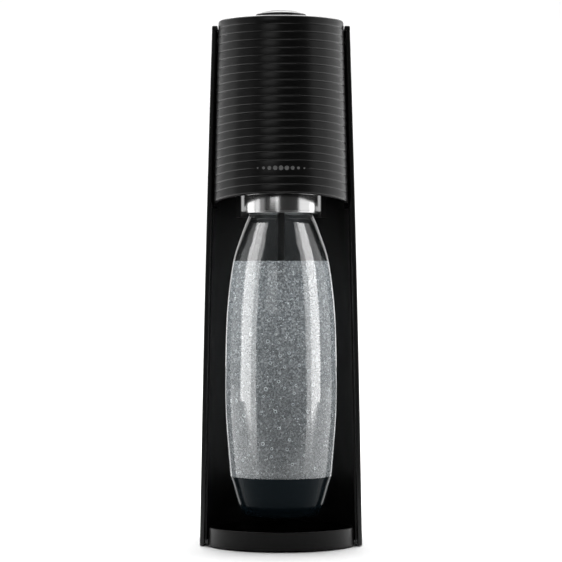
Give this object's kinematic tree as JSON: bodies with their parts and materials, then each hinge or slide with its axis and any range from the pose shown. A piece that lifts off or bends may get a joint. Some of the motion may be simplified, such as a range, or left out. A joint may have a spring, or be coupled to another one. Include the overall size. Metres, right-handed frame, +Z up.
{
  "type": "soda carbonator",
  "caption": "Manual countertop drink carbonator: ribbed round head with a push button, open bottle bay, hanging bottle, drip tray and a rear bay for a gas cylinder.",
  "frame": {"origin": "on the standing surface, under the middle of the machine's outline", "axes": "+Z up, -Y to the front where the bottle hangs, +X to the right seen from the front"},
  "size_m": [0.1322, 0.185, 0.4362],
  "materials": {
    "casing_black": "satin moulded black plastic",
    "ribbed_black": "fine-grained satin black plastic",
    "bay_black": "matt black moulded plastic",
    "tray_black": "satin black plastic",
    "button_black": "satin black plastic",
    "cradle_black": "matt black plastic",
    "inner_grey": "plain grey moulded plastic",
    "handle_grey": "light grey moulded plastic",
    "nozzle_plastic": "natural white plastic",
    "brushed_trim": "stainless steel brushed round the band",
    "clear_bottle": "clear bottle plastic with light surface wear",
    "cap_gloss": "glossy blue-black plastic",
    "cylinder_aluminium": "satin turned aluminium",
    "brass_fittings": "machined brass",
    "steel_hardware": "zinc-plated steel",
    "soft_rubber": "black rubber",
    "water": "clear sparkling water full of bubbles",
    "tube_plastic": "natural nylon tube"
  },
  "bodies": {
    "housing": {"main_housing": "casing_black", "base_plate": "inner_grey", "rubber_feet": "soft_rubber", "base_screws": "steel_hardware", "recess_liner": "bay_black", "head_shell": "ribbed_black", "top_cap": "casing_black", "button_guide": "inner_grey", "upper_frame": "inner_grey", "frame_screws": "steel_hardware", "valve_block": "brass_fittings", "lever_pin": "steel_hardware", "bail_pins": "steel_hardware", "tilt_pins": "steel_hardware", "gas_tube": "tube_plastic", "gas_fitting": "brass_fittings", "cylinder_seat": "inner_grey", "cylinder_seal": "soft_rubber"},
    "button": {"button_cap": "button_black", "button_spring": "steel_hardware"},
    "gas_lever": {"gas_lever": "inner_grey"},
    "valve_pin": {"valve_pin": "steel_hardware"},
    "carbonation_head": {"nozzle_block": "inner_grey", "nozzle": "nozzle_plastic", "nozzle_seal": "soft_rubber", "bottle_cradle": "cradle_black", "trim_band": "brushed_trim", "rear_collar": "cradle_black", "relief_valve": "brass_fittings"},
    "bottle": {"bottle_body": "clear_bottle", "bottle_base_cap": "cap_gloss"},
    "drip_tray": {"drip_tray": "tray_black"},
    "rear_cover": {"rear_cover": "casing_black"},
    "cover_latch": {"cover_latch": "button_black"},
    "gas_cylinder": {"gas_cylinder": "cylinder_aluminium", "cylinder_valve": "brass_fittings", "lift_yoke": "inner_grey"},
    "cylinder_lever": {"cylinder_lever": "handle_grey"}
  },
  "joints": [
    {"name": "button_press", "type": "slide", "parent": "housing", "child": "button", "axis": [0, 0, -1], "range_m": [0, 0.009], "stiffness_N_per_m": 500, "springref_m": -0.003, "deforming": ["button_spring"]},
    {"name": "gas_lever_swing", "type": "hinge", "parent": "housing", "child": "gas_lever", "pos_m": [0, 0.067, 0.3975], "axis": [1, 0, 0], "range_deg": [0, 4.9]},
    {"name": "valve_pin_travel", "type": "slide", "parent": "housing", "child": "valve_pin", "axis": [0, 0, -1], "range_m": [0, 0.0015]},
    {"name": "head_tilt", "type": "hinge", "parent": "housing", "child": "carbonation_head", "pos_m": [0, -0.03, 0.325], "axis": [-1, 0, 0], "range_deg": [0, 14]},
    {"name": "bottle_release", "type": "slide", "parent": "carbonation_head", "child": "bottle", "axis": [0, 0, -1], "range_m": [0, 0.007]},
    {"name": "drip_tray_slide", "type": "slide", "parent": "housing", "child": "drip_tray", "axis": [0, -1, 0], "range_m": [0, 0.13]},
    {"name": "rear_cover_pull", "type": "slide", "parent": "housing", "child": "rear_cover", "axis": [0, 1, 0], "range_m": [0, 0.07]},
    {"name": "cover_latch_press", "type": "slide", "parent": "rear_cover", "child": "cover_latch", "axis": [0, -1, 0], "range_m": [0, 0.002], "stiffness_N_per_m": 800, "springref_m": -0.001},
    {"name": "cylinder_drop", "type": "slide", "parent": "housing", "child": "gas_cylinder", "axis": [0, 0, -1], "range_m": [0, 0.006]},
    {"name": "cylinder_lever_swing", "type": "hinge", "parent": "housing", "child": "cylinder_lever", "pos_m": [0, 0.05, 0.381], "axis": [1, 0, 0], "range_deg": [0, 75.5]}
  ],
  "couplings": [
    {"joint": "gas_lever_swing", "follows": "button_press", "rad_per_m": 9.3458},
    {"joint": "valve_pin_travel", "follows": "button_press", "ratio": 0.15888},
    {"joint": "cylinder_lever_swing", "follows": "cylinder_drop", "rad_per_m": 218.17}
  ]
}
